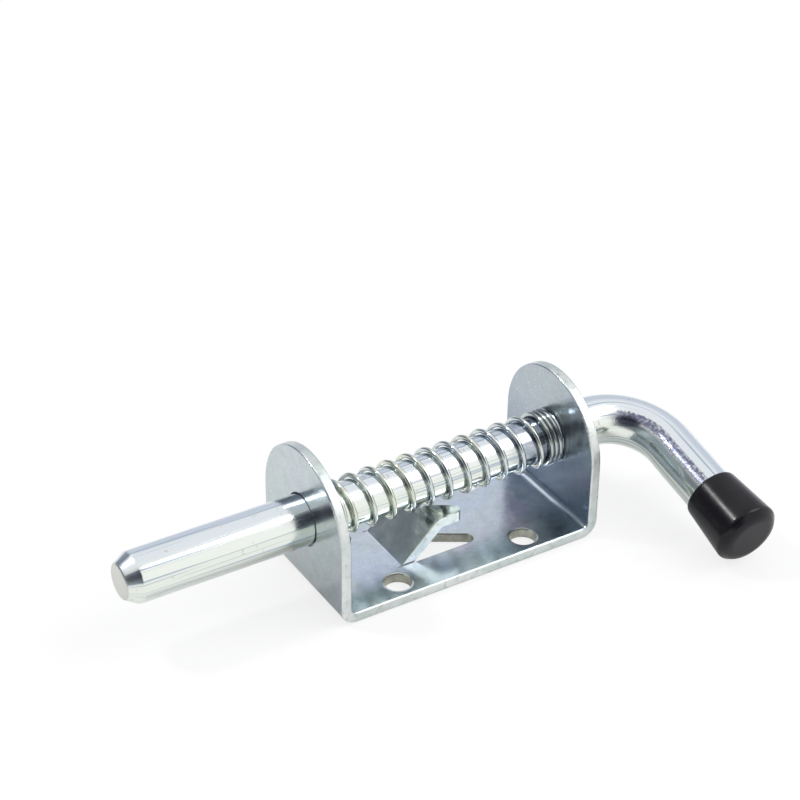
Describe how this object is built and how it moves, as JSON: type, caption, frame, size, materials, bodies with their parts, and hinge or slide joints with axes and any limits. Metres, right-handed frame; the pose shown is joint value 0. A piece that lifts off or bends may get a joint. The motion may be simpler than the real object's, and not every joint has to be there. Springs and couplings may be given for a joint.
{
  "type": "spring loaded gate latch",
  "caption": "Sprung round bolt in a folded sheet bracket, pulled back by its bent handle and held open by a cross pin on a forked tongue.",
  "frame": {"origin": "centre of the bracket's base on its underside, the face that lies on the gate", "axes": "+X along the bolt from its tip towards its handle, +Y across the base away from the resting handle, +Z out of the mounting face"},
  "size_m": [0.1447, 0.0647, 0.0362],
  "materials": {
    "zinc_sheet": "bright zinc plate on stamped sheet",
    "zinc_bar": "bright zinc plate on drawn bar",
    "pin_steel": "dull rolled steel",
    "spring_steel": "zinc plated spring wire",
    "black_plastic": "satin moulded plastic"
  },
  "bodies": {
    "bracket": {"bracket": "zinc_sheet"},
    "slider": {"spring": "spring_steel"},
    "bolt": {"bolt": "zinc_bar", "cross_pin": "pin_steel", "handle_cap": "black_plastic"}
  },
  "joints": [
    {"name": "bolt_slide", "type": "slide", "parent": "bracket", "child": "slider", "axis": [1, 0, 0], "range_m": [0, 0.04], "stiffness_N_per_m": 850, "springref_m": -0.012, "deforming": ["spring"]},
    {"name": "handle_turn", "type": "hinge", "parent": "slider", "child": "bolt", "pos_m": [0, 0, 0.0187], "axis": [-1, 0, 0], "range_deg": [0, 206]}
  ]
}
